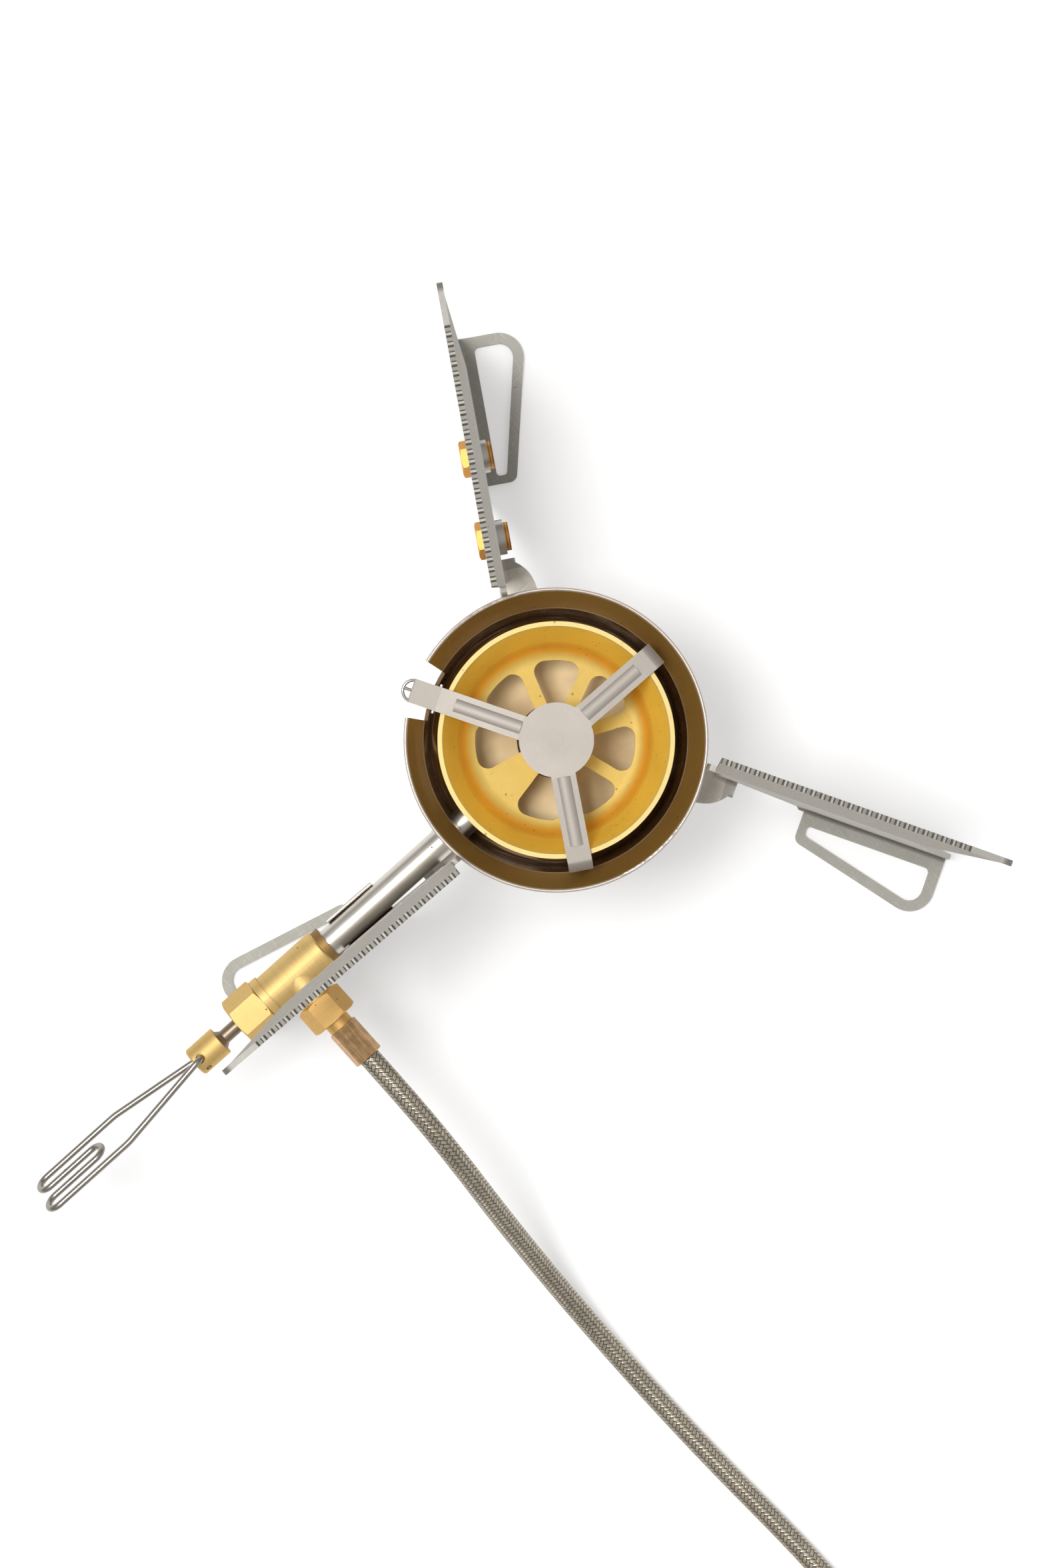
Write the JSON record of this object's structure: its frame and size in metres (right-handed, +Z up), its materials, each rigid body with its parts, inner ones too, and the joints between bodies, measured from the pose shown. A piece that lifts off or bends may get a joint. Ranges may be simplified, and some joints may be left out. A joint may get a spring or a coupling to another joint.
{
  "type": "camping stove",
  "caption": "Folding liquid-fuel camping stove: brass burner cup in a wind bowl on serrated fold-out legs, with needle valve, wire control bail and braided hose.",
  "frame": {"origin": "centre of the stove's box on the surface it stands on, measured without the hose", "axes": "+Z up; the fuel tube and its valve run from the burner along -Y; the hose leaves along +X"},
  "size_m": [0.3339, 0.2108, 0.088],
  "materials": {
    "leg_steel": "satin stamped stainless steel",
    "bowl_steel": "stainless steel, tinted brown inside by heat",
    "cup_brass": "turned brass, satin",
    "spreader_steel": "satin pressed stainless steel",
    "wire_steel": "bright drawn wire",
    "pad_fibre": "matt ceramic fibre",
    "tube_steel": "polished tube",
    "valve_brass": "machined brass",
    "inlet_brass": "machined brass, paler",
    "ferrule_bronze": "bronze, crimped",
    "jet_brass": "machined brass",
    "boss_steel": "turned steel",
    "hose_braid": "woven steel braid",
    "tie_rubber": "matt black rubber",
    "packing_ptfe": "white packing"
  },
  "bodies": {
    "base": {"fixed_leg": "leg_steel", "hub_rivet": "boss_steel", "hub_washer": "boss_steel", "wind_bowl": "bowl_steel", "priming_pad": "pad_fibre", "cup_posts": "boss_steel", "burner_cup": "cup_brass", "flame_spreader": "spreader_steel", "spreader_clip": "wire_steel", "jet_block": "valve_brass", "main_jet": "jet_brass", "fuel_tube": "tube_steel", "tube_saddle": "leg_steel", "valve_body": "valve_brass", "packing_nut": "valve_brass", "gland_packing": "packing_ptfe", "inlet_nut": "inlet_brass", "inlet_ferrule": "ferrule_bronze", "fuel_hose": "hose_braid", "hose_coil": "hose_braid", "hose_tie": "tie_rubber", "pump_ferrule": "ferrule_bronze", "pump_connector": "inlet_brass", "connector_seal": "tie_rubber"},
    "swing_leg_1": {"swing_leg_1": "leg_steel", "spare_jet_upper": "jet_brass", "spare_jet_lower": "jet_brass", "jet_boss_upper": "boss_steel", "jet_boss_lower": "boss_steel"},
    "swing_leg_2": {"swing_leg_2": "leg_steel"},
    "valve_control": {"valve_spindle": "boss_steel", "control_collar": "valve_brass", "collar_pin": "boss_steel"},
    "control_bail": {"control_bail": "wire_steel"}
  },
  "joints": [
    {"name": "leg_1_fold", "type": "hinge", "parent": "base", "child": "swing_leg_1", "pos_m": [0.00146, 0.0486, 0.035], "axis": [0, 0, 1], "range_deg": [0, 102]},
    {"name": "leg_2_fold", "type": "hinge", "parent": "base", "child": "swing_leg_2", "pos_m": [0.00146, 0.0486, 0.0365], "axis": [0, 0, 1], "range_deg": [-90, 0]},
    {"name": "valve_turn", "type": "hinge", "parent": "base", "child": "valve_control", "pos_m": [0.00146, -0.0514, 0.0465], "axis": [0, -1, 0], "range_deg": [0, 540]},
    {"name": "bail_fold", "type": "hinge", "parent": "valve_control", "child": "control_bail", "pos_m": [0.00146, -0.0576, 0.0465], "axis": [0, 0, 1], "range_deg": [-90, 90]}
  ]
}
